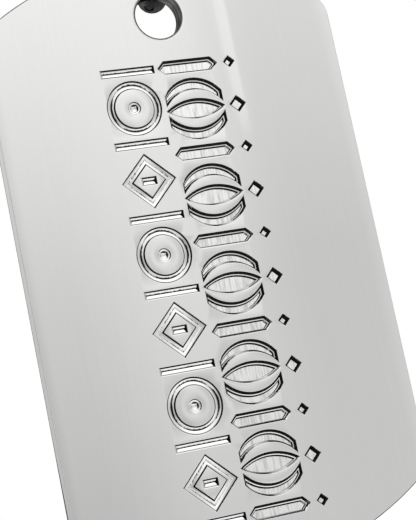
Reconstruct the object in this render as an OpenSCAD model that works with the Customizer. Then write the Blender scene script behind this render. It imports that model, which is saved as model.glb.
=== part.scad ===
// Identification tag on a ball chain: a flat steel plate with an engraved border,
// hung by a round hole on a closed loop of small hollow balls.
// The loop keeps the form it has around a neck. Millimetres, +Z up, the tag faces -Y,
// and the origin is the middle of the chain at the back of the neck.

/* [Tag plate] */
// Width of the plate
tag_w = 28; // [24:0.5:34]
// Length of the plate between the crowns of its two ends
tag_l = 47; // [42:0.5:60]
// Thickness of the plate
tag_t = 1.5; // [1:0.1:2.2]
// Radius of the two curved ends
end_r = 23; // [18:0.5:40]
// Radius of the four corners
corner_r = 2.2; // [1.5:0.1:4]
// Diameter of the hole
hole_d = 3.6; // [3.2:0.1:4.4]
// Distance of the hole's centre from the crown of the upper end
hole_from_end = 4.55; // [4:0.05:7]
// Distance of the hole's centre to the left of the middle line
hole_shift = 0.05; // [0:0.05:1]

/* [Engraved border] */
// Distance from the hole's centre down to the first line of the border
border_from_hole = 4.2; // [3.5:0.1:6]
// Distance from the crown of the lower end up to the last line of the border
border_from_end = 4; // [3:0.1:8]
// Height of the row of rings and lozenges, across the tag
row_h = 4.3; // [3:0.1:4.4]
// Distance of that row's middle to the left of the hole's centre
row_left = 3.35; // [3.2:0.05:5]
// Width of an engraved line
line_w = 0.65; // [0.3:0.05:0.8]
// Diameter of the point punched in each ring
dot_d = 1; // [0.6:0.1:1.4]
// Length of the short line in each lozenge
dash_l = 1.2; // [0.6:0.1:1.6]
// Least length along the tag for one ring, one lozenge and their two lines
row_repeat = 11; // [10:0.1:16]
// Distance of the leaf row's middle to the right of the hole's centre
leaf_right = 1.5; // [1.4:0.1:3]
// Least length along the tag for one leaf and one lance
leaf_repeat = 6.4; // [6:0.1:8]
// Depth of the leaf row's floors
cut_depth = 0.2; // [0.15:0.05:0.5]
// Height of a leaf, across the tag
leaf_h = 4.8; // [3.6:0.1:5]
// Width of a leaf, along the tag
leaf_w = 1.6; // [0.9:0.1:1.8]
// Radius of the curved strokes beside a leaf
stroke_r = 2.8; // [2.5:0.1:3.2]
// Breadth of the curved strokes
stroke_w = 0.95; // [0.5:0.05:1.1]
// Height of the curved strokes, across the tag
stroke_h = 4.6; // [3:0.1:4.8]
// Distance of a curved stroke's back from the leaf's middle
stroke_out = 2.45; // [2.2:0.05:2.6]
// Breadth of the lances
lance_w = 1.1; // [0.5:0.05:1.3]
// Height of the lances, across the tag
lance_h = 4.9; // [3.6:0.1:5.2]
// Width of the lozenges over the leaves, from point to point
leaf_dot = 1.4; // [0.8:0.1:1.6]
// Width of the lozenges over the lances, from point to point
lance_dot = 1; // [0.6:0.1:1.2]
// Distance of the lozenges from the leaf row's middle, across the tag
dot_rise = 3.4; // [3.2:0.1:4]

/* [Chain] */
// Diameter of a ball
ball_d = 2.4; // [1.8:0.1:2.8]
// Bare link between two balls
link_show = 0.9; // [0.6:0.1:1.4]
// Diameter of the link wire
wire_d = 0.6; // [0.4:0.05:0.8]
// Play between the wire and the drilled balls, on the radius
bore_gap = 0.15; // [0.1:0.05:0.25]
// Gap between the wire and the top of the tag's hole
hang_gap = 0.1; // [0.05:0.05:0.3]
// Gap between the tag's faces and the two balls beside them
face_gap = 0.3; // [0.2:0.05:0.6]
// Height of the ball behind the tag above the wire in the hole
back_rise = 1.1; // [1:0.1:1.6]
// Height of the ball in front of the tag above the wire in the hole
front_rise = 1.9; // [1:0.1:2.4]
// Distance of those two balls to the side of the hole's centre
ball_side = 0.8; // [0.3:0.05:1]
// Length of each strand, over those two balls, that keeps its distance from the tag's plane
clear_run = 10; // [8:0.5:14]

/* [Clasp] */
// Distance between the centres of the two balls that the clasp holds
clasp_pitch = 4; // [3.6:0.1:5]
// Wall of the clasp's sleeve
clasp_wall = 0.35; // [0.25:0.05:0.6]
// Play around the balls in the sleeve
clasp_gap = 0.15; // [0.1:0.05:0.3]
// Width of the slot along the sleeve
clasp_slot = 1.3; // [1:0.1:1.6]
// Play between the wire and the sleeve's two eyes, on the radius
eye_gap = 0.3; // [0.2:0.05:0.5]

/* [Hidden] */
$fn = 64;
end_sides = 256;
corner_steps = 10;
ball_sides = 32;
wire_sides = 6;
route_steps = 16;
steel = "silver";
bright_steel = "gainsboro";
dark_steel = "gray";
// Overshoot of a cutting shape past the face that it cuts
past = 0.5;

// Centre of the tag's hole, halfway through the plate
hole_at = [0, -118, -207];

// Chosen points of one half of the worn loop, from the back of the neck to
// the last stretch over the tag. The other half is its mirror image.
chain_route = [
    [35, -9, -3],
    [57, -34, -15],
    [62, -66, -42],
    [53, -93, -80],
    [37, -111, -120],
    [19, -118, -163]
];

ball_r = ball_d / 2;
wire_r = wire_d / 2;
pitch = ball_d + link_show;
plate_mid_x = hole_shift;
plate_top = hole_from_end;
plate_bottom = plate_top - tag_l;
end_top_y = plate_top - end_r;
end_bottom_y = plate_bottom + end_r;
// Place of a corner's centre: it touches the straight side and the curved end
corner_x = tag_w / 2 - corner_r;
corner_dy = sqrt(pow(end_r - corner_r, 2) - pow(corner_x, 2));

row_top = -border_from_hole;
row_len = -border_from_hole - (plate_bottom + border_from_end);
row_count = max(1, floor(row_len / row_repeat));
row_step = row_len / row_count;
leaf_count = max(1, floor(row_len / leaf_repeat));
leaf_step = row_len / leaf_count;

// Height of the wire's axis above the hole's centre, and the two balls' places
wire_up = hole_d / 2 - wire_r - hang_gap;
ball_out = tag_t / 2 + ball_r + face_gap;
dip_out = tag_t / 2 + wire_r + hang_gap;

function unit(v) = v / norm(v);
function mirrored(p) = [-p.x, p.y, p.z];
function reversed(list) = [for (i = [len(list) - 1:-1:0]) list[i]];

// Smooth curve through four neighbouring points, between the middle two
function smooth(a, b, c, d, t) =
    0.5 * (2 * b + t * (c - a) + t * t * (2 * a - 5 * b + 4 * c - d)
    + t * t * t * (3 * b - a - 3 * c + d));

// The curve through a list of points. It leaves the first one as if it came from before.
function curve(points, before, steps) = [
    for (i = [0:len(points) - 2])
        let (a = i == 0 ? before : points[i - 1])
        let (d = i == len(points) - 2 ? 2 * points[i + 1] - points[i] : points[i + 2])
        for (k = [0:steps - 1]) smooth(a, points[i], points[i + 1], d, k / steps),
    points[len(points) - 1]
];

// Length run at each point of a list, from its first point
function runs(list, i = 0, total = 0) =
    i == len(list) ? [] : let (now = i == 0 ? 0 : total + norm(list[i] - list[i - 1]))
    concat([now], runs(list, i + 1, now));

// Point of a list at a given length run
function at_run(list, run, want) =
    let (i = min(len(list) - 2, max(0, len([for (r = run) if (r <= want) r]) - 1)))
    list[i] + (list[i + 1] - list[i]) * (want - run[i]) / (run[i + 1] - run[i]);

// One side of the loop: side is 1 behind the tag and -1 in front of it.
// It starts at the ball that the clasp holds and ends at the ball beside the tag.
function side_end(side) =
    hole_at + [side * ball_side, side * ball_out, wire_up + (side > 0 ? back_rise : front_rise)];
function side_points(side) =
    let (bends = [for (p = chain_route) side > 0 ? p : mirrored(p)])
    let (last = bends[len(bends) - 1])
    let (low = side_end(side))
    let (rise = (last - low) * clear_run / norm(last - low))
    concat([[side * clasp_pitch / 2, 0, 0]], bends, [low + [rise.x, 0, rise.z]], [low]);
function side_balls(side) =
    let (points = side_points(side))
    let (line = curve(points, mirrored(points[1]), route_steps))
    let (run = runs(line))
    let (gaps = round(run[len(run) - 1] / pitch))
    [for (i = [0:gaps]) at_run(line, run, run[len(run) - 1] * i / gaps)];

back_balls = side_balls(1);
front_balls = side_balls(-1);
dip_front = hole_at + [0, -dip_out, wire_up];
dip_back = hole_at + [0, dip_out, wire_up];

// Steepness and heading that turn +Z onto a direction
module along(direction) {
    rotate([0, acos(direction.z / norm(direction)), atan2(direction.y, direction.x)]) children();
}

module plate_outline() {
    translate([plate_mid_x, 0]) difference() {
        translate([-tag_w / 2, plate_bottom]) square([tag_w, tag_l]);
        end_trim(end_top_y, 1);
        end_trim(end_bottom_y, -1);
        for (sx = [-1, 1]) {
            corner_tip(sx, end_top_y + corner_dy, 1);
            corner_tip(sx, end_bottom_y - corner_dy, -1);
        }
    }
}

// What a curved end takes off: all that lies outside its arc, on its own side
// of the arc's centre
module end_trim(y, sy) {
    reach = end_r + past;
    translate([0, y]) difference() {
        translate([-tag_w / 2 - past, (sy - 1) / 2 * reach]) square([tag_w + 2 * past, reach]);
        circle(r = end_r, $fn = end_sides);
    }
}

// What a rounded corner takes off: the tip outside the corner's arc, which runs
// from the straight side to the curved end
module corner_tip(sx, y, sy) {
    sweep = atan2(corner_dy, corner_x);
    outside = corner_r + past;
    arc = [
        for (i = [0:corner_steps])
            let (turn = sweep * i / corner_steps)
            corner_r * [sx * cos(turn), sy * sin(turn)]
    ];
    translate([sx * corner_x, y]) polygon(concat(arc, [[sx * outside, sy * outside], [sx * outside, 0]]));
}

// A straight engraved line with sloping sides, along X
module line_cut(length) {
    rotate([45, 0, 0]) cube([length, line_w / sqrt(2), line_w / sqrt(2)], center = true);
}

module ring_cut() {
    middle = (row_h - line_w) / 2;
    rotate_extrude() polygon([
        [middle - line_w / 2, 0],
        [middle, -line_w / 2],
        [middle + line_w / 2, 0],
        [middle, line_w / 2]
    ]);
    cylinder(h = dot_d, r1 = 0, r2 = dot_d, center = true);
}

module lozenge_cut() {
    reach = row_h / 2 - line_w / sqrt(2);
    for (turn = [0:90:270]) {
        rotate([0, 0, 45 + turn]) translate([0, reach / sqrt(2), 0]) line_cut(reach * sqrt(2) + line_w / 2);
    }
    line_cut(dash_l);
}

// Rings and lozenges by turns, with a line across the row between them
module line_row() {
    for (i = [0:2 * row_count]) {
        translate([-row_left, row_top - i * row_step / 2, 0]) line_cut(row_h);
    }
    for (i = [0:row_count - 1]) {
        translate([-row_left, row_top - (i + 0.25) * row_step, 0]) ring_cut();
        translate([-row_left, row_top - (i + 0.75) * row_step, 0]) lozenge_cut();
    }
}

module leaf() {
    arc_r = (leaf_h * leaf_h + leaf_w * leaf_w) / (4 * leaf_w);
    intersection() {
        translate([0, arc_r - leaf_w / 2]) circle(r = arc_r);
        translate([0, leaf_w / 2 - arc_r]) circle(r = arc_r);
    }
}

// Curved stroke with its back away from the leaf, side is 1 or -1 along the tag
module stroke(side) {
    intersection() {
        translate([-stroke_h / 2, side * stroke_out - stroke_r * (side + 1)])
            square([stroke_h, 2 * stroke_r]);
        difference() {
            translate([0, side * (stroke_out - stroke_r)]) circle(r = stroke_r);
            translate([0, side * (stroke_out - stroke_r - stroke_w)]) circle(r = stroke_r);
        }
    }
}

module lance() {
    shoulder = lance_h / 2 - lance_w / 2;
    polygon([
        [-lance_h / 2, 0],
        [-shoulder, -lance_w / 2],
        [shoulder, -lance_w / 2],
        [lance_h / 2, 0],
        [shoulder, lance_w / 2],
        [-shoulder, lance_w / 2]
    ]);
}

module lozenge(size) {
    rotate(45) square(size / sqrt(2), center = true);
}

// Leaves between curved strokes, with pointed lances between them
module leaf_row() {
    for (i = [0:leaf_count - 1]) {
        translate([leaf_right, row_top - (i + 0.5) * leaf_step]) {
            leaf();
            stroke(1);
            stroke(-1);
            translate([dot_rise, 0]) lozenge(leaf_dot);
        }
    }
    for (i = [0:leaf_count]) {
        translate([leaf_right, row_top - i * leaf_step]) {
            lance();
            translate([dot_rise, 0]) lozenge(lance_dot);
        }
    }
}

module tag_plate() {
    color(steel) translate(hole_at) rotate([90, 0, 0]) difference() {
        translate([0, 0, -tag_t / 2]) linear_extrude(tag_t) plate_outline();
        translate([0, 0, -tag_t]) cylinder(h = 2 * tag_t, d = hole_d);
        translate([0, 0, tag_t / 2]) line_row();
        translate([0, 0, tag_t / 2 - cut_depth]) linear_extrude(cut_depth + past) leaf_row();
    }
}

// A ball drilled along Z: right through, or from above down to its middle
module drilled_ball(through = true) {
    rotate_extrude($fn = ball_sides) intersection() {
        circle(d = ball_d, $fn = ball_sides);
        union() {
            translate([wire_r + bore_gap, -ball_d]) square([ball_d, 2 * ball_d]);
            if (!through) translate([0, -ball_d]) square([ball_d, ball_d]);
        }
    }
}

// In the ball beside the tag two bores meet in a small round pocket: one from
// the ball before it and one toward the tag's hole
module end_ball(centre, previous, next) {
    translate(centre) difference() {
        along(previous - centre) drilled_ball(through = false);
        sphere(r = wire_r + 2 * bore_gap, $fn = ball_sides);
        along(next - centre) cylinder(h = ball_d, r = wire_r + bore_gap, $fn = ball_sides);
    }
}

module balls(line, next) {
    last = len(line) - 1;
    for (i = [0:last - 1]) {
        translate(line[i]) along(line[i + 1] - line[max(0, i - 1)]) drilled_ball();
    }
    end_ball(line[last], line[last - 1], next);
}

module chain_balls() {
    color(bright_steel) {
        balls(back_balls, dip_back);
        balls(front_balls, dip_front);
    }
}

// Frames along a line: each keeps as close to the one before as it can
function tangents(line) = [
    for (i = [0:len(line) - 1]) unit(line[min(i + 1, len(line) - 1)] - line[max(i - 1, 0)])
];
function normals(ways, last, i = 0) =
    i == len(ways) ? [] : let (now = unit(last - (last * ways[i]) * ways[i]))
    concat([now], normals(ways, now, i + 1));

module swept_wire(line, radius, sides) {
    ways = tangents(line);
    ups = normals(ways, [0, 0, 1]);
    rings = len(line);
    points = [
        for (i = [0:rings - 1])
            for (k = [0:sides - 1])
                line[i] + radius * (cos(360 * k / sides) * ups[i]
                + sin(360 * k / sides) * cross(ways[i], ups[i]))
    ];
    walls = [
        for (i = [0:rings - 2])
            for (k = [0:sides - 1])
                let (m = (k + 1) % sides)
                [i * sides + k, (i + 1) * sides + k, (i + 1) * sides + m, i * sides + m]
    ];
    first_cap = [for (k = [0:sides - 1]) k];
    last_cap = [for (k = [sides - 1:-1:0]) (rings - 1) * sides + k];
    polyhedron(points = points, faces = concat([first_cap], walls, [last_cap]));
}

// One wire through every ball of the loop and through the tag's hole
module chain_wire() {
    line = concat(back_balls, [dip_back, dip_front], reversed(front_balls));
    color(dark_steel) swept_wire(line, wire_r, wire_sides);
}

// A short sleeve that holds the loop's two end balls, slotted along its upper side
module chain_clasp() {
    inner_r = ball_r + clasp_gap;
    inner_l = clasp_pitch + 2 * inner_r;
    outer_r = inner_r + clasp_wall;
    outer_l = inner_l + 2 * clasp_wall;
    color(steel) rotate([0, 90, 0]) difference() {
        cylinder(h = outer_l, r = outer_r, center = true);
        cylinder(h = inner_l, r = inner_r, center = true);
        cylinder(h = outer_l + past, r = wire_r + eye_gap, center = true);
        translate([-outer_r, 0, 0]) cube([2 * outer_r, clasp_slot, outer_l + past], center = true);
    }
}

tag_plate();
chain_balls();
chain_wire();
chain_clasp();
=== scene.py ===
# Identification tag on a ball chain: camera, pieces, materials and light.
# The scene is in metres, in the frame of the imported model. The sizes of the tag and the chain
# are written in millimetres, and become metres where their vertices are made.
import math

import bmesh
import bpy
from mathutils import Matrix, Vector


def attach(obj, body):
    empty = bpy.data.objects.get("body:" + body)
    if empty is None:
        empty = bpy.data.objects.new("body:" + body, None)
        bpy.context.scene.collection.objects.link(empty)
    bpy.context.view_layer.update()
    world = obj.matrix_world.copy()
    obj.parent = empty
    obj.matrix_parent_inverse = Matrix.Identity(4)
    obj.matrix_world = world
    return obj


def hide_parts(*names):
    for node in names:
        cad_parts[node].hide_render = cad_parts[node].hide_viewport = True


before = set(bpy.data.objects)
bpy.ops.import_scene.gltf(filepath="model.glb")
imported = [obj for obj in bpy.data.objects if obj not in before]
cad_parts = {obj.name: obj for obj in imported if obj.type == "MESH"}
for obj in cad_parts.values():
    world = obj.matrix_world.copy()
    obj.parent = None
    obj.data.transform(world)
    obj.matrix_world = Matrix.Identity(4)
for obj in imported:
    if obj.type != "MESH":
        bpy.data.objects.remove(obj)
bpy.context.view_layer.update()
scene = bpy.context.scene
MM = 0.001

# The camera's place, turn and lens come from a fit to the plate's outline and hole. Its place and
# the range that it shows are in metres, its lens and the frame's long side in millimetres.
CAMERA_AT = (-0.036104, -0.223488, -0.242443)
CAMERA_RIGHT = (0.93536, -0.29083, -0.20128)
CAMERA_UP = (0.14656, -0.19923, 0.96893)
LENS = 103.36
FRAME_LONG_SIDE = 36
NEAREST_SHOWN = 0.002
FARTHEST_SHOWN = 50


def make_camera():
    lens = bpy.data.cameras.new("photo_camera")
    lens.sensor_fit = "VERTICAL"
    lens.sensor_height = FRAME_LONG_SIDE
    lens.lens = LENS
    lens.clip_start = NEAREST_SHOWN
    lens.clip_end = FARTHEST_SHOWN
    camera = bpy.data.objects.new("photo_camera", lens)
    right = Vector(CAMERA_RIGHT).normalized()
    back = right.cross(Vector(CAMERA_UP)).normalized()
    turn = Matrix((right, back.cross(right), back)).transposed()
    camera.matrix_world = Matrix.Translation(CAMERA_AT) @ turn.to_4x4()
    scene.collection.objects.link(camera)
    scene.camera = camera


make_camera()

# The plate, as in the part's source. HOLE_AT is the hole's middle, halfway through the plate.
TAG_W, TAG_L, TAG_T = 28, 47, 1.5
END_R, CORNER_R = 23, 2.2
HOLE_R, HOLE_FROM_END, HOLE_SHIFT = 1.8, 4.55, 0.05
HOLE_AT = Vector((0, -118, -207))
FACE = TAG_T / 2
TOP = HOLE_FROM_END
BOTTOM = TOP - TAG_L

# The engraved border
ROW_TOP = -4.2
ROW_BOTTOM = BOTTOM + 4
ROW_H, ROW_LEFT, LINE_W = 4.3, 3.35, 0.65
DOT_R, DASH_L = 0.5, 1.2
ROW_COUNT, LEAF_COUNT = 3, 5
LEAF_RIGHT, LEAF_H, LEAF_W = 1.5, 4.8, 1.6
STROKE_R, STROKE_W, STROKE_H, STROKE_OUT = 2.8, 0.95, 4.6, 2.45
LANCE_W, LANCE_H = 1.1, 4.9
LEAF_DOT, LANCE_DOT, DOT_RISE = 1.4, 1, 3.4

# The chain
BALL_R, WIRE_R, PITCH, CLASP_PITCH = 1.2, 0.3, 3.3, 4
WIRE_CLEAR, BALL_CLEAR = 0.1, 0.3
WIRE_UP = HOLE_R - WIRE_R - WIRE_CLEAR
BALL_OUT = FACE + BALL_R + BALL_CLEAR
DIP_OUT = FACE + WIRE_R + WIRE_CLEAR
# How far the last balls behind and in front lie above the wire in the hole and beside it, and
# the run over which each strand stays clear of the plate
BACK_RISE, FRONT_RISE, BALL_SIDE, CLEAR_RUN = 1.1, 1.9, 0.8, 10
# Bends of one half of the loop, from the clasp down to the tag
CHAIN_ROUTE = [
    (35, -9, -3),
    (57, -34, -15),
    (62, -66, -42),
    (53, -93, -80),
    (37, -111, -120),
    (19, -118, -163),
]
ROUTE_STEPS = 16


# Materials. Object coordinates are in metres, and the sizes of patterns in millimetres.


def linear(hex_colour):
    """An sRGB colour such as "C8C8C6" as linear red, green, blue and alpha."""
    parts = [int(hex_colour[i : i + 2], 16) / 255 for i in (0, 2, 4)]
    return [c / 12.92 if c <= 0.04045 else ((c + 0.055) / 1.055) ** 2.4 for c in parts] + [1]


def add(tree, kind, inputs=None, stops=(), **settings):
    """A node with its settings and inputs, and a colour ramp's stops of place and linear colour.

    An input is a value, an output to link to it, or a node whose first output is linked to it.
    """
    node = tree.nodes.new(kind)
    for name, value in settings.items():
        setattr(node, name, value)
    for name, value in (inputs or {}).items():
        if isinstance(value, bpy.types.Node):
            value = value.outputs[0]
        if isinstance(value, bpy.types.NodeSocket):
            tree.links.new(value, node.inputs[name])
        else:
            node.inputs[name].default_value = value
    if stops:
        points = node.color_ramp.elements
        while len(points) < len(stops):
            points.new(0.5)
        for point, (place, colour) in zip(points, stops):
            point.position = place
            point.color = colour
    return node


def new_material(name):
    """An empty material, and its node tree."""
    material = bpy.data.materials.new(name)
    material.use_nodes = True
    material.node_tree.nodes.clear()
    return material, material.node_tree


def surfaced(material, inputs):
    """The material with its shader, which is a bare metal where the inputs don't say otherwise."""
    tree = material.node_tree
    shader = add(tree, "ShaderNodeBsdfPrincipled", {"Metallic": 1} | inputs)
    add(tree, "ShaderNodeOutputMaterial", {"Surface": shader})
    return material


def cells(tree, x, y, z, detail):
    """Inputs for a noise on the object whose cells have these sizes in millimetres."""
    place = add(tree, "ShaderNodeTexCoord").outputs["Object"]
    scale = [1 / (size * MM) for size in (x, y, z)]
    place = add(tree, "ShaderNodeMapping", {"Vector": place, "Scale": scale})
    return {"Vector": place, "Scale": 1, "Detail": detail}


def polished_plate():
    """Stainless sheet, rolled and then polished along its length: nearly a mirror, with faint lines.

    The rolling left waves 3 mm across. Real polishing lines are finer than 0.05 mm, and these are
    drawn 0.15 mm across so that they show.
    """
    material, tree = new_material("polished_stainless_sheet")
    waves = add(tree, "ShaderNodeTexNoise", cells(tree, 3, 3, 40, detail=2))
    lines = add(tree, "ShaderNodeTexNoise", cells(tree, 0.15, 0.15, 9, detail=3))
    stops = [(0.25, linear("DADAD9")), (0.75, linear("DCDCDB"))]
    tone = add(tree, "ShaderNodeValToRGB", {0: lines}, stops)
    rough = add(tree, "ShaderNodeMapRange", {0: lines, 3: 0.03, 4: 0.045})
    wavy = add(tree, "ShaderNodeBump", {"Height": waves, "Distance": 0.004 * MM, "Strength": 1})
    scored = {"Height": lines, "Distance": 0.00007 * MM, "Strength": 1, "Normal": wavy}
    relief = add(tree, "ShaderNodeBump", scored)
    return surfaced(material, {"Base Color": tone, "Roughness": rough, "Normal": relief})


# How far a wall looks left or down, from 0 to -1: below the first it gets the full painted shade,
# and above the second none. FLECKS is how far the cutter's marks break that painted shade up.
FULL_SHADE_BELOW, NO_SHADE_ABOVE, FLECKS = -0.28, -0.2, 0.2
# How far it looks out of the face, where -1 is straight out: below the first it is bright, and
# above the second it gets a lighter painted shade. The last is how dark that is, from 0, bright,
# to 1, the full painted shade.
BRIGHT_BELOW, STEEP_SHADE_ABOVE, STEEP_SHADE = -0.88, -0.78, 0.5


def cut_walls():
    """The same steel where the cutter went: bright gentle facets, and painted shade on steep ones.

    The walls that look down or left get painted shade, nearly black, broken into bright flecks by
    the cutter's marks. The steep walls on the other side get a lighter painted shade. The marks
    are drawn 0.12 mm across, a few times as coarse as real ones, so that they show.
    """
    material, tree = new_material("engraver_cut_steel_with_painted_shade")
    marks = add(tree, "ShaderNodeTexNoise", cells(tree, 0.12, 0.12, 0.4, detail=2))
    facing = add(tree, "ShaderNodeTexCoord").outputs["Normal"]
    facing = add(tree, "ShaderNodeSeparateXYZ", {0: facing}).outputs
    # Painted shade: walls that look left or down are darkened as the shade side of each cut
    away = add(tree, "ShaderNodeMath", {0: facing[0], 1: facing[2]}, operation="MINIMUM")
    away = add(tree, "ShaderNodeMath", {0: marks, 1: FLECKS, 2: away}, operation="MULTIPLY_ADD")
    span = {0: away, 1: FULL_SHADE_BELOW, 2: NO_SHADE_ABOVE, 3: 1, 4: 0}
    painted_shade_down_left = add(tree, "ShaderNodeMapRange", span, interpolation_type="SMOOTHSTEP")
    # A lighter painted shade on the steep walls that look any other way
    span = {0: facing[1], 1: BRIGHT_BELOW, 2: STEEP_SHADE_ABOVE, 3: 0, 4: STEEP_SHADE}
    painted_shade_steep = add(tree, "ShaderNodeMapRange", span, interpolation_type="SMOOTHSTEP")
    darker = add(tree, "ShaderNodeMath", {0: painted_shade_down_left, 1: painted_shade_steep}, operation="MAXIMUM")
    stops = [(0, linear("E2E2E1")), (STEEP_SHADE, linear("8A8A89")), (1, linear("1E1E1E"))]
    tone = add(tree, "ShaderNodeValToRGB", {0: darker}, stops)
    relief = add(tree, "ShaderNodeBump", {"Height": marks, "Distance": 0.005 * MM, "Strength": 1})
    return surfaced(material, {"Base Color": tone, "Roughness": 0.14, "Normal": relief})


def milled_floor():
    """The floors of the border's wide cuts: bright, with uneven marks of the cutter.

    They are drawn 0.16 mm across, a few times as coarse as real ones, so that they show.
    """
    material, tree = new_material("milled_steel_floor")
    marks = add(tree, "ShaderNodeTexNoise", cells(tree, 0.16, 0.16, 1.4, detail=3))
    stops = [(0.3, linear("C8C8C7")), (0.55, linear("F2F2F1"))]
    tone = add(tree, "ShaderNodeValToRGB", {0: marks}, stops)
    relief = add(tree, "ShaderNodeBump", {"Height": marks, "Distance": 0.008 * MM, "Strength": 1})
    return surfaced(material, {"Base Color": tone, "Roughness": 0.15, "Normal": relief})


def sheared_side(name, dark, light, roughness, edge_tint):
    """Sheet steel where a punch cut it, with lines round the edge, drawn 0.16 mm across to show."""
    material, tree = new_material(name)
    scores = add(tree, "ShaderNodeTexNoise", cells(tree, 2, 0.16, 2, detail=2))
    tone = add(tree, "ShaderNodeValToRGB", {0: scores}, [(0.3, linear(dark)), (0.7, linear(light))])
    relief = add(tree, "ShaderNodeBump", {"Height": scores, "Distance": 0.004 * MM, "Strength": 1})
    finish = {"Base Color": tone, "Roughness": roughness, "Normal": relief}
    return surfaced(material, finish | {"Specular Tint": linear(edge_tint)})


def tumbled_side():
    """The outer side, smoothed by tumbling: pale satin, so that it barely parts from the face."""
    return sheared_side("tumbled_steel_side", "D0D0CF", "DADAD9", 0.42, "F0F0EF")


def torn_side_with_painted_shade():
    """The hole's wall and the torn part of the outer side: dull torn steel, darkened further as painted
    shade that draws a dark outline round the plate and the hole, at a glancing angle too.
    """
    return sheared_side("torn_steel_side_with_painted_shade", "4E4E4D", "848483", 0.25, "848484")


# Painted shade: Metallic below 1 and a grey edge tint make the chain's steel dark, as if the whole
# chain lay in the plate's shade; such chains are bright steel
SHADE_DARKENED_METAL = {"Metallic": 0.7, "Specular Tint": linear("606060")}


def tumbled_balls():
    """Rolled steel beads, darkened as painted shade: smooth, with small dents and duller patches."""
    material, tree = new_material("steel_beads_painted_dark")
    patches = add(tree, "ShaderNodeTexNoise", cells(tree, 0.9, 0.9, 0.9, detail=3))
    # These dark greys are painted shade over the beads
    stops = [(0.35, linear("484848")), (0.65, linear("5E5E5E"))]
    tone = add(tree, "ShaderNodeValToRGB", {0: patches}, stops)
    rough = add(tree, "ShaderNodeMapRange", {0: patches, 3: 0.4, 4: 0.5})
    dents = add(tree, "ShaderNodeBump", {"Height": patches, "Distance": 0.02 * MM, "Strength": 1})
    return surfaced(material, SHADE_DARKENED_METAL | {"Base Color": tone, "Roughness": rough, "Normal": dents})


def drawn_wire():
    """Hard drawn wire, made dark still further as painted shade, with small patches."""
    material, tree = new_material("drawn_steel_wire_painted_dark")
    patches = add(tree, "ShaderNodeTexNoise", cells(tree, 0.25, 0.25, 0.25, detail=2))
    # These near blacks are painted shade over the wire
    stops = [(0.3, linear("181818")), (0.7, linear("242424"))]
    tone = add(tree, "ShaderNodeValToRGB", {0: patches}, stops)
    return surfaced(material, SHADE_DARKENED_METAL | {"Base Color": tone, "Roughness": 0.42})


def rolled_clasp():
    """Bright rolled sheet of the clasp, with faint lines along the sleeve, drawn wide to show."""
    material, tree = new_material("rolled_sheet_clasp")
    lines = add(tree, "ShaderNodeTexNoise", cells(tree, 3, 0.15, 0.15, detail=2))
    stops = [(0.3, linear("B2B2B1")), (0.7, linear("CBCBCA"))]
    tone = add(tree, "ShaderNodeValToRGB", {0: lines}, stops)
    relief = add(tree, "ShaderNodeBump", {"Height": lines, "Distance": 0.005 * MM, "Strength": 1})
    return surfaced(material, {"Base Color": tone, "Roughness": 0.22, "Normal": relief})


# Mesh helpers

FACE_SLOT, CUT_SLOT, FLOOR_SLOT, SIDE_SLOT, TORN_AND_SHADE_SLOT = range(5)
# Pieces of one material have only this slot
ONLY_SLOT = 0
SMOOTH_LIMIT = math.radians(21)
# Vertices closer than this, in metres, are one
SAME_SPOT = 1e-8


def arc(cx, cy, radius, start, end, steps):
    """Points of an arc, from the first angle up to and with the last, in degrees."""
    turns = [math.radians(start + (end - start) * i / steps) for i in range(steps + 1)]
    return [(cx + radius * math.cos(t), cy + radius * math.sin(t)) for t in turns]


def on_plate(mesh, points, out):
    """A loop of vertices at plate coordinates: right and up from the hole, out of its middle."""
    return [mesh.verts.new((HOLE_AT + Vector((u, -out, v))) * MM) for u, v in points]


def bridge(mesh, first, second, slot, shares=None):
    """A band of quads between two loops. With shares, the outer side is torn where they are small."""
    count = len(first)
    for i in range(count):
        j = (i + 1) % count
        face = mesh.faces.new((first[i], first[j], second[j], second[i]))
        # At the ends the side takes the dark torn material, partly painted shade for a dark outline
        at_end = shares is not None and slot == SIDE_SLOT and shares[i] + shares[j] < 1
        face.material_index = TORN_AND_SHADE_SLOT if at_end else slot
        face.smooth = True


def fill(mesh, loops, slot):
    """A flat face with holes between loops that lie in one plane."""
    edges = []
    for loop in loops:
        for i, vertex in enumerate(loop):
            edge = mesh.edges.get((vertex, loop[i - 1]))
            edges.append(edge or mesh.edges.new((vertex, loop[i - 1])))
    made = bmesh.ops.triangle_fill(mesh, use_beauty=True, edges=edges, normal=(0, -1, 0))
    for item in made["geom"]:
        if isinstance(item, bmesh.types.BMFace):
            item.material_index = slot
            item.smooth = True


def finish_piece(mesh, name, materials, slot, body, *nodes):
    """The mesh as a piece that rides on a body, with the CAD nodes it takes the place of hidden."""
    bmesh.ops.remove_doubles(mesh, verts=mesh.verts, dist=SAME_SPOT)
    bmesh.ops.dissolve_degenerate(mesh, dist=SAME_SPOT, edges=mesh.edges)
    bmesh.ops.recalc_face_normals(mesh, faces=mesh.faces)
    data = bpy.data.meshes.new(name)
    mesh.to_mesh(data)
    mesh.free()
    for material in materials:
        data.materials.append(material)
    data.set_sharp_from_angle(angle=SMOOTH_LIMIT)
    piece = bpy.data.objects.new(name, data)
    scene.collection.objects.link(piece)
    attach(piece, body)
    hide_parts(*nodes)
    return piece


# The plate

# The belt that buffed the face along its length let it fall away near the long sides. The edge
# itself is a tight round. The hole's edge is rolled less and rounded more.
ROLL_IN, ROLL_DOWN, ROLL_STEPS = 1.1, 0.042, 8
EDGE_R, EDGE_STEPS = 0.03, 8
HOLE_ROLL_IN, HOLE_ROLL_DOWN, HOLE_EDGE_R = 0.3, 0.006, 0.14
# The punch cut most of the thickness clean and tore the rest, next to the back
TORN_DEPTH = 0.12
# The tear deepens towards the lower end, and a thin rim of it shows on the faces of both ends
TEAR_FROM, TEAR_RUN, TEAR_MORE = -30, 9, 0.42
RIM = 0.05
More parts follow.
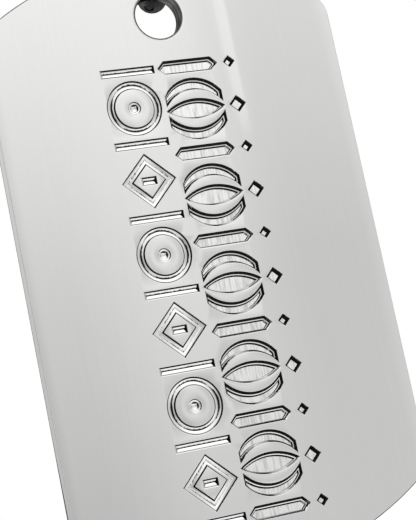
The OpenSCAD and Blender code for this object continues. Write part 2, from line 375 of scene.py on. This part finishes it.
# Where the outline turns from a side to an end, by how much of its outward way is sideways
END_BELOW, SIDE_RISE = 0.6, 0.35
# How many parts the outline's corners, ends and sides and the hole are drawn in
CORNER_STEPS, END_STEPS, SIDE_STEPS, HOLE_STEPS = 10, 72, 24, 64


def plate_outline(inset):
    """The plate's outline drawn in by an inset, counterclockwise."""
    corner_x = TAG_W / 2 - CORNER_R
    corner_dy = math.sqrt((END_R - CORNER_R) ** 2 - corner_x**2)
    sweep = math.degrees(math.atan2(corner_dy, corner_x))
    high, low = TOP - END_R, BOTTOM + END_R
    right, left = HOLE_SHIFT + corner_x, HOLE_SHIFT - corner_x
    small, large = CORNER_R - inset, END_R - inset
    points = arc(right, high + corner_dy, small, 0, sweep, CORNER_STEPS)
    points += arc(HOLE_SHIFT, high, large, sweep, 180 - sweep, END_STEPS)[1:-1]
    points += arc(left, high + corner_dy, small, 180 - sweep, 180, CORNER_STEPS)
    points += side_run(points[-1], low - corner_dy)
    points += arc(left, low - corner_dy, small, 180, 180 + sweep, CORNER_STEPS)
    points += arc(HOLE_SHIFT, low, large, 180 + sweep, 360 - sweep, END_STEPS)[1:-1]
    points += arc(right, low - corner_dy, small, 360 - sweep, 360, CORNER_STEPS)
    points += side_run(points[-1], high + corner_dy)
    return points


def side_run(start, end_y):
    """Points along a straight side, between its two ends."""
    x, y = start
    return [(x, y + (end_y - y) * i / SIDE_STEPS) for i in range(1, SIDE_STEPS)]


def rolled_edge(radius, reach, fall):
    """Pairs of inset and height from the side over the tight edge and up the soft roll."""
    steepest = math.atan(2 * fall / (reach - radius))
    turns = [(math.pi / 2 - steepest) * i / EDGE_STEPS for i in range(EDGE_STEPS + 1)]
    round_part = [(radius * (1 - math.cos(t)), radius * math.sin(t)) for t in turns]
    start, top = round_part[-1]
    soft_part = []
    for share in [RIM / (reach - start)] + [i / ROLL_STEPS for i in range(1, ROLL_STEPS + 1)]:
        soft_part.append((start + (reach - start) * share, top + fall * (1 - (1 - share) ** 2)))
    lift = FACE - soft_part[-1][1]
    return [(inset, out + lift) for inset, out in round_part + soft_part]


def side_shares(outline):
    """For each point, how far the edge there looks sideways: 1 on the long sides and 0 at the ends."""
    shares = []
    for (x, _), (inner_x, _) in zip(outline(0), outline(1)):
        shares.append(min(1, max(0, (abs(x - inner_x) - END_BELOW) / SIDE_RISE)))
    return shares


def on_edge(mesh, points, out, shares):
    """A loop round the edge. Where its share is small, only the tight round is left of the roll."""
    rise = min(FACE - abs(out), ROLL_DOWN)
    loop = []
    for (u, v), share in zip(points, shares):
        height = abs(out) + (1 - share) * rise
        loop.append(mesh.verts.new((HOLE_AT + Vector((u, -math.copysign(height, out), v))) * MM))
    return loop


def skin_through(mesh, outline, edge, side_slot, shares=None):
    """The rolled edges and the wall between the two faces. Gives the front and back loops."""
    side_top = edge[0][1]
    steps = list(reversed(edge)) + [(0, TORN_DEPTH - side_top)] + [(inset, -out) for inset, out in edge]
    shares = shares or [1] * len(outline(0))
    loops = [on_edge(mesh, outline(inset), out, shares) for inset, out in steps]
    # The front's edge ends at this loop. At the next one the clean cut ends and the tear begins.
    wall = len(edge) - 1
    for vertex in loops[wall + 1]:
        v = vertex.co.z / MM - HOLE_AT.z
        vertex.co.y -= TEAR_MORE * min(1, max(0, (TEAR_FROM - v) / TEAR_RUN)) * MM
    edge_bands = EDGE_STEPS + 1
    for i in range(len(loops) - 1):
        slot = FACE_SLOT
        if wall - edge_bands <= i <= wall:
            slot = side_slot
        # The torn band's dark material is partly painted shade for the outline round the edge
        elif wall < i <= wall + 1 + edge_bands:
            slot = TORN_AND_SHADE_SLOT
        bridge(mesh, loops[i], loops[i + 1], slot, shares)
    return loops[0], loops[-1]


def hole_outline(inset):
    """The hole's outline, widened by an inset, since the steel lies outside it."""
    return arc(0, 0, HOLE_R + inset, 0, 360, HOLE_STEPS)[:-1]


# How a cut's wall falls: inset from its outline and depth, from the rounded lip down
LIP = [(-0.03, 0), (-0.015, 0.002), (0, 0.009)]
LINE_WALL = LIP + [(0.1, 0.1), (0.2, 0.118), (LINE_W / 2, 0.187)]
FLOOR_WALL = LIP + [(0.16, 0.15), (0.2, 0.16), (0.27, 0.235)]
SMALL_WALL = LIP + [(0.13, 0.13), (0.2, 0.23)]
POINT_WALL = LIP + [(0.06, 0.051), (0.18, 0.077), (DOT_R, 0.3)]
# The cutter of the wide cuts leaned: their upper and right walls are the broader ones
CUTTER_LEAN, LEAN_FROM = 0.6, 0.12
# How far the end of a straight line cut slopes in for each length of depth
END_SLOPE = 1.4
# How many parts the border's curves are drawn in
RING_SIDES, LEAF_STEPS, STROKE_STEPS = 48, 20, 16


def depth_at(inset, wall):
    """Depth of a wall at some inset, straight between its points."""
    for (near, high), (far, low) in zip(wall, wall[1:]):
        if inset <= far:
            return high + (low - high) * (inset - near) / (far - near)
    return wall[-1][1]


def sink(mesh, outline, wall, floor_slot=None, lean=0):
    """A cut into the front face. Gives its lip loop. A wall that closes on itself has no floor."""
    loops = []
    for inset, depth in wall:
        shift = lean * max(0, inset - LEAN_FROM)
        points = [(u - shift, v - shift) for u, v in outline(inset)]
        loops.append(on_plate(mesh, points, FACE - depth))
    for above, below in zip(loops, loops[1:]):
        bridge(mesh, above, below, CUT_SLOT)
    if floor_slot is not None:
        fill(mesh, [loops[-1]], floor_slot)
    return loops[0]


def moat(mesh, outline, wall, width):
    """A line cut that runs round on itself. Gives its outer and inner lip loops."""
    across = wall + [(width - inset, depth) for inset, depth in reversed(wall[:-1])]
    loops = [on_plate(mesh, outline(inset), FACE - depth) for inset, depth in across]
    for above, below in zip(loops, loops[1:]):
        bridge(mesh, above, below, CUT_SLOT)
    return loops[0], loops[-1]


def bar(u, v, length):
    """Outline of a straight line cut, along the tag's width."""

    def outline(inset):
        slope_in = inset if inset <= 0 else END_SLOPE * depth_at(inset, LINE_WALL)
        x, y = length / 2 - slope_in, LINE_W / 2 - inset
        return [(u - x, v - y), (u + x, v - y), (u + x, v + y), (u - x, v + y)]

    return outline


def circle(u, v, radius):
    def outline(inset):
        return arc(u, v, radius - inset, 0, 360, RING_SIDES)[:-1]

    return outline


def diamond(u, v, half):
    def outline(inset):
        reach = half - inset * math.sqrt(2)
        return [(u + reach, v), (u, v + reach), (u - reach, v), (u, v - reach)]

    return outline


def leaf(u, v):
    """Two equal arcs that meet in two points."""
    big = (LEAF_H**2 + LEAF_W**2) / (4 * LEAF_W)
    drop = big - LEAF_W / 2

    def outline(inset):
        radius = big - inset
        half = math.degrees(math.acos(drop / radius))
        lower = arc(u, v + drop, radius, 270 - half, 270 + half, LEAF_STEPS)
        upper = arc(u, v - drop, radius, 90 - half, 90 + half, LEAF_STEPS)
        return lower[:-1] + upper[:-1]

    return outline


def stroke(u, v, side):
    """A curved band with its back away from the leaf."""
    back = STROKE_OUT - STROKE_R
    front = back - STROKE_W

    def outline(inset):
        reach = STROKE_H / 2 - inset
        wide, tight = STROKE_R - inset, STROKE_R + inset
        across = [reach - 2 * reach * i / STROKE_STEPS for i in range(STROKE_STEPS + 1)]
        points = [(u + x, v + side * (back + math.sqrt(wide**2 - x**2))) for x in across]
        across.reverse()
        return points + [(u + x, v + side * (front + math.sqrt(tight**2 - x**2))) for x in across]

    return outline


def lance(u, v):
    """A straight bar with pointed ends."""

    def outline(inset):
        high = LANCE_W / 2 - inset
        tip = LANCE_H / 2 - inset * math.sqrt(2)
        flat = tip - high
        lower = [(u - tip, v), (u - flat, v - high), (u + flat, v - high)]
        return lower + [(u + tip, v), (u + flat, v + high), (u - flat, v + high)]

    return outline


def engrave(mesh):
    """The two rows of the border. Gives the lips that the front face goes round."""
    lips = []
    # Left row: each step holds a ring in its upper half and a lozenge in its lower, between bars
    step = (ROW_TOP - ROW_BOTTOM) / ROW_COUNT
    for i in range(2 * ROW_COUNT + 1):
        lips.append(sink(mesh, bar(-ROW_LEFT, ROW_TOP - i * step / 2, ROW_H), LINE_WALL))
    for i in range(ROW_COUNT):
        ring_v = ROW_TOP - (i + 0.25) * step
        outer, inner = moat(mesh, circle(-ROW_LEFT, ring_v, ROW_H / 2), LINE_WALL, LINE_W)
        lips.append(outer)
        bridge(mesh, inner, sink(mesh, circle(-ROW_LEFT, ring_v, DOT_R), POINT_WALL), FACE_SLOT)
        lozenge_v = ROW_TOP - (i + 0.75) * step
        outer, inner = moat(mesh, diamond(-ROW_LEFT, lozenge_v, ROW_H / 2), LINE_WALL, LINE_W)
        lips.append(outer)
        fill(mesh, [inner, sink(mesh, bar(-ROW_LEFT, lozenge_v, DASH_L), LINE_WALL)], FACE_SLOT)
    # Right row: leaves between strokes, and lances between the leaves, each with its own lozenge
    step = (ROW_TOP - ROW_BOTTOM) / LEAF_COUNT
    for i in range(LEAF_COUNT):
        v = ROW_TOP - (i + 0.5) * step
        shapes = [leaf(LEAF_RIGHT, v), stroke(LEAF_RIGHT, v, 1), stroke(LEAF_RIGHT, v, -1)]
        lips += [sink(mesh, shape, FLOOR_WALL, FLOOR_SLOT, CUTTER_LEAN) for shape in shapes]
        lozenge = diamond(LEAF_RIGHT + DOT_RISE, v, LEAF_DOT / 2)
        lips.append(sink(mesh, lozenge, SMALL_WALL, FLOOR_SLOT, CUTTER_LEAN))
    for i in range(LEAF_COUNT + 1):
        v = ROW_TOP - i * step
        lips.append(sink(mesh, lance(LEAF_RIGHT, v), FLOOR_WALL, FLOOR_SLOT, CUTTER_LEAN))
        lozenge = diamond(LEAF_RIGHT + DOT_RISE, v, LANCE_DOT / 2)
        lips.append(sink(mesh, lozenge, SMALL_WALL, FLOOR_SLOT, CUTTER_LEAN))
    return lips


def make_plate():
    """The engraved plate with its hole, as one closed mesh."""
    mesh = bmesh.new()
    edge = rolled_edge(EDGE_R, ROLL_IN, ROLL_DOWN)
    front, back = skin_through(mesh, plate_outline, edge, SIDE_SLOT, side_shares(plate_outline))
    hole_edge = rolled_edge(HOLE_EDGE_R, HOLE_ROLL_IN, HOLE_ROLL_DOWN)
    hole_front, hole_back = skin_through(mesh, hole_outline, hole_edge, TORN_AND_SHADE_SLOT)
    fill(mesh, [front, hole_front] + engrave(mesh), FACE_SLOT)
    fill(mesh, [back, hole_back], FACE_SLOT)
    materials = [polished_plate(), cut_walls(), milled_floor(), tumbled_side(), torn_side_with_painted_shade()]
    piece = finish_piece(mesh, "tag", materials, "polished_plate", "tag", "tag_plate")
    weights = piece.modifiers.new("flat_face_leads", "WEIGHTED_NORMAL")
    weights.keep_sharp = True


make_plate()


# The chain


def smooth_between(a, b, c, d, t):
    """Smooth curve through four neighbouring points, between the middle two."""
    square, cube = 2 * a - 5 * b + 4 * c - d, 3 * b - a - 3 * c + d
    return 0.5 * (2 * b + t * (c - a) + t**2 * square + t**3 * cube)


def smooth_line(points, before):
    """A smooth line through points, which comes from a point before the first."""
    line = []
    for i in range(len(points) - 1):
        a = points[i - 1] if i else before
        last = i == len(points) - 2
        d = 2 * points[i + 1] - points[i] if last else points[i + 2]
        for k in range(ROUTE_STEPS):
            line.append(smooth_between(a, points[i], points[i + 1], d, k / ROUTE_STEPS))
    return line + [points[-1]]


def even_points(line, pitch):
    """Points at equal runs along a line, as close to a pitch as they fit, with both its ends."""
    run = [0]
    for a, b in zip(line, line[1:]):
        run.append(run[-1] + (b - a).length)
    count = round(run[-1] / pitch)
    points, i = [], 0
    for k in range(count + 1):
        want = run[-1] * k / count
        while i < len(line) - 2 and run[i + 1] < want:
            i += 1
        points.append(line[i].lerp(line[i + 1], (want - run[i]) / (run[i + 1] - run[i])))
    return points


def strand(side):
    """Ball centres of one half of the loop: side is 1 behind the tag and -1 in front."""
    bends = [Vector((side * x, y, z)) for x, y, z in CHAIN_ROUTE]
    rise = BACK_RISE if side > 0 else FRONT_RISE
    low = HOLE_AT + Vector((side * BALL_SIDE, side * BALL_OUT, WIRE_UP + rise))
    clear = (bends[-1] - low).normalized() * CLEAR_RUN
    points = [Vector((side * CLASP_PITCH / 2, 0, 0))] + bends
    points += [low + Vector((clear.x, 0, clear.z)), low]
    before = Vector((-points[1].x, points[1].y, points[1].z))
    return even_points(smooth_line(points, before), PITCH)


BACK_STRAND, FRONT_STRAND = strand(1), strand(-1)
DIP_BACK = HOLE_AT + Vector((0, DIP_OUT, WIRE_UP))
DIP_FRONT = HOLE_AT + Vector((0, -DIP_OUT, WIRE_UP))

# A ball is a rolled shell. Its profile runs from inside one opening to inside the other.
OPENING_R, OPENING_LIP = 0.36, 0.12
# How far the lip goes in, and the small round at its top
LIP_DOWN, LIP_ROUND_DOWN, LIP_ROUND_OUT = 0.32, 0.1, 0.04
BALL_SIDES, BALL_ROWS = 30, 13
# The seam runs from one opening to the other: its depth in millimetres, half its width in
# radians, and how far it is turned from one bead to the next
SEAM_DEPTH, SEAM_HALF, SEAM_TURN = 0.05, 0.05, 2.4


def ball_profile():
    """Pairs of radius and height: a lip turned into each opening, and the round shell."""
    start = math.asin((OPENING_R + OPENING_LIP) / BALL_R)
    shell = []
    for i in range(BALL_ROWS + 1):
        turn = start + (math.pi - 2 * start) * i / BALL_ROWS
        shell.append((BALL_R * math.sin(turn), BALL_R * math.cos(turn)))
    top = shell[0][1]
    lip = [(OPENING_R, top - LIP_DOWN), (OPENING_R, top - LIP_ROUND_DOWN)]
    lip.append((OPENING_R + LIP_ROUND_OUT, top))
    return lip + shell + [(r, -h) for r, h in reversed(lip)]


def add_ball(mesh, centre, way, roll):
    """One bead with its openings along a way and its seam turned by an angle."""
    turn = way.to_track_quat("Z", "Y").to_matrix()
    # Five close columns make the seam, and the middle one is sunk. The rest are even.
    angles = [-2 * SEAM_HALF, -SEAM_HALF, 0, SEAM_HALF, 2 * SEAM_HALF]
    seam = len(angles) // 2
    plain = BALL_SIDES - len(angles)
    span = 2 * math.pi - 4 * SEAM_HALF
    angles += [2 * SEAM_HALF + span * (i + 1) / (plain + 1) for i in range(plain)]
    loops = []
    for radius, height in ball_profile():
        loop = []
        for k, angle in enumerate(angles):
            dent = SEAM_DEPTH if k == seam else 0
            reach = radius - min(dent, max(0, radius - OPENING_R))
            spot = Vector((reach * math.cos(angle + roll), reach * math.sin(angle + roll), height))
            loop.append(mesh.verts.new((centre + turn @ spot) * MM))
        loops.append(loop)
    for above, below in zip(loops, loops[1:]):
        bridge(mesh, above, below, ONLY_SLOT)
    # The lips are closed inside the ball, so that each bead is one closed solid
    for loop in (loops[0], loops[-1]):
        mesh.faces.new(loop).smooth = False


def make_balls(name, line, materials, end_way):
    """The beads of one strand. The last one looks into the dip through the hole."""
    mesh = bmesh.new()
    last = len(line) - 1
    for i, centre in enumerate(line):
        way = (line[min(i + 1, last)] - line[max(i - 1, 0)]).normalized()
        if i == last:
            way = ((centre - line[i - 1]).normalized() + end_way).normalized()
        add_ball(mesh, centre, way, SEAM_TURN * i)
    finish_piece(mesh, name, materials, "ball_steel", "chain", "chain_balls")


ball_materials = [tumbled_balls()]
make_balls("beads_behind", BACK_STRAND, ball_materials, (DIP_BACK - BACK_STRAND[-1]).normalized())
make_balls("beads_in_front", FRONT_STRAND, ball_materials, (DIP_FRONT - FRONT_STRAND[-1]).normalized())

WIRE_SIDES = 10
# A link is a short rod with a head at each end, inside the two balls that it joins. These are
# ways from a ball's middle with the rod's radius there.
LINK_END = [(0.55, 0.2), (0.6, 0.4), (0.75, 0.4), (0.9, WIRE_R)]
# The dip's bends take up this share of the runs beside them
BEND_SHARE, BEND_STEPS = 0.3, 6


def add_rod(mesh, line, radii):
    """A round rod along points, with a radius at each and closed ends."""
    loops, side = [], None
    for i, point in enumerate(line):
        way = (line[min(i + 1, len(line) - 1)] - line[max(i - 1, 0)]).normalized()
        side = way.orthogonal() if side is None else side - way * side.dot(way)
        side.normalize()
        other = way.cross(side)
        loop = []
        for k in range(WIRE_SIDES):
            turn = 2 * math.pi * k / WIRE_SIDES
            spot = point + radii[i] * (math.cos(turn) * side + math.sin(turn) * other)
            loop.append(mesh.verts.new(spot * MM))
        loops.append(loop)
    for above, below in zip(loops, loops[1:]):
        bridge(mesh, above, below, ONLY_SLOT)
    mesh.faces.new(loops[0])
    mesh.faces.new(loops[-1])


def link_rod(a, b):
    """The points and radii of the link between two ball centres."""
    way = (b - a).normalized()
    line = [a + way * reach for reach, _ in LINK_END]
    line += [b - way * reach for reach, _ in reversed(LINK_END)]
    radii = [radius for _, radius in LINK_END]
    return line, radii + radii[::-1]


def make_links():
    """The links of both strands, the one in the clasp, and the wire that dips through the hole."""
    mesh = bmesh.new()
    for line in (BACK_STRAND, FRONT_STRAND):
        for a, b in zip(line, line[1:]):
            add_rod(mesh, *link_rod(a, b))
    add_rod(mesh, *link_rod(FRONT_STRAND[0], BACK_STRAND[0]))
    bends = [BACK_STRAND[-1], DIP_BACK, DIP_FRONT, FRONT_STRAND[-1]]
    line = [bends[0]]
    for before, bend, after in zip(bends, bends[1:], bends[2:]):
        near, far = bend.lerp(before, BEND_SHARE), bend.lerp(after, BEND_SHARE)
        for i in range(BEND_STEPS + 1):
            t = i / BEND_STEPS
            line.append(near.lerp(bend, t).lerp(bend.lerp(far, t), t))
    line.append(bends[-1])
    add_rod(mesh, line, [WIRE_R] * len(line))
    finish_piece(mesh, "links", [drawn_wire()], "wire_steel", "chain", "chain_wire")


make_links()

# The clasp: a slotted sleeve of thin sheet whose ends draw in around the links. Its sheet's edges
# are slightly rounded.
SLEEVE_R, SLEEVE_L, SLEEVE_WALL = 1.7, 7.4, 0.3
END_EYE_R, SHOULDER = 0.72, 1.3
# Half the slot's width, and the most of the radius that it may take where the ends draw in
SLOT_HALF, SLOT_MOST = 0.65, 0.95
SHEET_ROUND = 0.06
SLEEVE_ROWS, SLEEVE_COLUMNS = 48, 40


def sleeve_radius(x):
    """Outer radius along the sleeve: straight in the middle and round over the shoulders."""
    past = max(0, abs(x) - (SLEEVE_L / 2 - SHOULDER)) / SHOULDER
    low = END_EYE_R + SLEEVE_WALL
    return low + (SLEEVE_R - low) * math.sqrt(max(0, 1 - past**2))


def make_clasp():
    """The sleeve, as an outer and an inner skin that are joined along the slot and at the ends."""
    mesh = bmesh.new()
    rows, columns = SLEEVE_ROWS, SLEEVE_COLUMNS

    def shell(wall):
        grid = []
        for i in range(rows + 1):
            x = -math.cos(math.pi * i / rows) * SLEEVE_L / 2
            radius = sleeve_radius(x)
            gap = math.asin(min(SLOT_MOST, SLOT_HALF / radius))
            line = []
            for k in range(columns + 1):
                turn = gap + (2 * math.pi - 2 * gap) * k / columns
                reach = radius - wall
                spot = Vector((x, reach * math.sin(turn), reach * math.cos(turn)))
                line.append(mesh.verts.new(spot * MM))
            grid.append(line)
        return grid

    def quad(*corners):
        mesh.faces.new(corners).smooth = True

    outer, inner = shell(0), shell(SLEEVE_WALL)
    for i in range(rows):
        for k in range(columns):
            for g in (outer, inner):
                quad(g[i][k], g[i + 1][k], g[i + 1][k + 1], g[i][k + 1])
        for k in (0, columns):
            quad(outer[i][k], outer[i + 1][k], inner[i + 1][k], inner[i][k])
    for i in (0, rows):
        for k in range(columns):
            quad(outer[i][k], outer[i][k + 1], inner[i][k + 1], inner[i][k])
    piece = finish_piece(mesh, "clasp", [rolled_clasp()], "ball_steel", "chain", "chain_clasp")
    edge = piece.modifiers.new("rounded_edges", "BEVEL")
    edge.width = SHEET_ROUND * MM
    edge.segments = 2
    edge.limit_method = "ANGLE"
    edge.angle_limit = SMOOTH_LIMIT


make_clasp()

# Studio: a pale floor well under the tag, and one soft room of light. Lengths here are in metres.

FLOOR_Z, FLOOR_HALF = -0.33, 6
LAMP_AT, LAMP_SIZE, LAMP_POWER = (0, -0.1, 2), 3, 60


def make_floor():
    mesh = bmesh.new()
    corners = [(-1, -1), (1, -1), (1, 1), (-1, 1)]
    mesh.faces.new([mesh.verts.new((x * FLOOR_HALF, y * FLOOR_HALF, FLOOR_Z)) for x, y in corners])
    data = bpy.data.meshes.new("studio_floor")
    mesh.to_mesh(data)
    mesh.free()
    paper = {"Metallic": 0, "Roughness": 0.9, "Base Color": linear("F4F4F4")}
    data.materials.append(surfaced(new_material("matt_white_paper")[0], paper))
    floor = bpy.data.objects.new("studio_floor", data)
    scene.collection.objects.link(floor)
    floor.visible_glossy = False


# Brightness of the room by height in degrees. Three soft panels stand at the tag's own height, and
# each has a level at its foot, its middle and its head.
LOW_LIGHT = [(-90, 0.3), (-60, 0.5), (-36, 0.75), (-14, 0.85)]
HIGH_LIGHT = [(34, 1.0), (50, 1.1), (62, 0.9), (90, 0.6)]
LEFT_LIGHT = [(-4, 0.45), (8, 0.6), (20, 0.85)]
MIDDLE_LIGHT = [(-4, 0.55), (8, 0.7), (20, 0.85)]
RIGHT_LIGHT = [(-4, 0.55), (8, 0.55), (20, 0.7)]
# The headings over which one panel gives way to the next: 0 is straight in front, 90 the right
LEFT_ENDS, RIGHT_STARTS = (13, 18), (18, 23)
# How much of it comes from each heading
ROUND_LIGHT = [
    (-180, 0.75), (-172, 1.0), (-164, 1.15), (-140, 1.1), (-118, 0.6), (-95, 0.4), (-50, 0.4),
    (-30, 0.7), (-10, 0.8), (1, 0.84), (9, 1.0), (24, 1.0), (29, 1.05), (36, 1.12), (44, 0.95),
    (60, 0.9), (72, 0.85), (90, 0.5), (104, 0.5), (125, 0.75), (150, 0.7), (180, 0.75),
]
# A narrow upright light, seen as a streak beside the hole: its heading and half width, the heights
# over which it comes up, and how much it adds
STREAK_AT, STREAK_HALF, STREAK_LOW, STREAK_HIGH, STREAK_GAIN = 21.5, 0.17, 12, 14, 0.36
# The share of the room's light that the steel gives back
STEEL_RETURN = 0.7


def brightness(tree, angle, levels):
    """Brightness from pairs of degrees and level, straight between them."""
    low, high = levels[0][0], levels[-1][0]
    share = add(tree, "ShaderNodeMapRange", {0: angle, 1: low, 2: high})
    stops = [((degrees - low) / (high - low), (level, level, level, 1)) for degrees, level in levels]
    return add(tree, "ShaderNodeValToRGB", {0: share}, stops)


def make_room():
    """Light that comes from all round, by heading from the tag's front and by height."""
    world = bpy.data.worlds.new("soft_room")
    world.use_nodes = True
    scene.world = world
    tree = world.node_tree
    tree.nodes.clear()
    way = add(tree, "ShaderNodeTexCoord").outputs["Generated"]
    way = add(tree, "ShaderNodeSeparateXYZ", {0: way}).outputs
    front = add(tree, "ShaderNodeMath", {0: way[1], 1: -1}, operation="MULTIPLY")
    heading = add(tree, "ShaderNodeMath", {0: way[0], 1: front}, operation="ARCTAN2")
    heading = add(tree, "ShaderNodeMath", {0: heading}, operation="DEGREES")
    height = add(tree, "ShaderNodeMath", {0: way[2]}, operation="ARCSINE")
    height = add(tree, "ShaderNodeMath", {0: height}, operation="DEGREES")
    left, middle, right = [
        brightness(tree, height, LOW_LIGHT + levels + HIGH_LIGHT)
        for levels in (LEFT_LIGHT, MIDDLE_LIGHT, RIGHT_LIGHT)
    ]
    room = left
    for (start, end), after in ((LEFT_ENDS, middle), (RIGHT_STARTS, right)):
        span = {0: heading, 1: start, 2: end}
        share = add(tree, "ShaderNodeMapRange", span, interpolation_type="SMOOTHSTEP")
        room = add(tree, "ShaderNodeMix", {0: share, 2: room, 3: after})
    around = brightness(tree, heading, ROUND_LIGHT)
    room = add(tree, "ShaderNodeMath", {0: room, 1: around}, operation="MULTIPLY")
    off = add(tree, "ShaderNodeMath", {0: heading, 1: STREAK_AT}, operation="SUBTRACT")
    off = add(tree, "ShaderNodeMath", {0: off}, operation="ABSOLUTE")
    span = {0: off, 1: 0, 2: STREAK_HALF, 3: STREAK_GAIN, 4: 0}
    streak = add(tree, "ShaderNodeMapRange", span, interpolation_type="SMOOTHSTEP")
    span = {0: height, 1: STREAK_LOW, 2: STREAK_HIGH}
    risen = add(tree, "ShaderNodeMapRange", span, interpolation_type="SMOOTHSTEP")
    gain = add(tree, "ShaderNodeMath", {0: streak, 1: risen, 2: 1}, operation="MULTIPLY_ADD")
    level = add(tree, "ShaderNodeMath", {0: room, 1: gain}, operation="MULTIPLY")
    room = add(tree, "ShaderNodeBackground", {"Color": level, "Strength": 1 / STEEL_RETURN})
    # The picture's background and the paper floor get plain white instead
    white = add(tree, "ShaderNodeBackground", {"Color": (1, 1, 1, 1), "Strength": 1})
    path = add(tree, "ShaderNodeLightPath").outputs
    rays = {0: path["Is Camera Ray"], 1: path["Is Diffuse Ray"]}
    plain = add(tree, "ShaderNodeMath", rays, operation="MAXIMUM")
    shown = add(tree, "ShaderNodeMixShader", {0: plain, 1: room, 2: white})
    add(tree, "ShaderNodeOutputWorld", {"Surface": shown})


def make_top_light():
    """A wide soft light over the floor. The metal reflects the room and not this lamp."""
    lamp = bpy.data.lights.new("top_light", "AREA")
    lamp.shape = "DISK"
    lamp.size = LAMP_SIZE
    lamp.energy = LAMP_POWER
    light = bpy.data.objects.new("top_light", lamp)
    light.location = LAMP_AT
    light.visible_glossy = False
    light.visible_camera = False
    scene.collection.objects.link(light)


make_floor()
make_room()
make_top_light()
scene.view_settings.view_transform = "Standard"
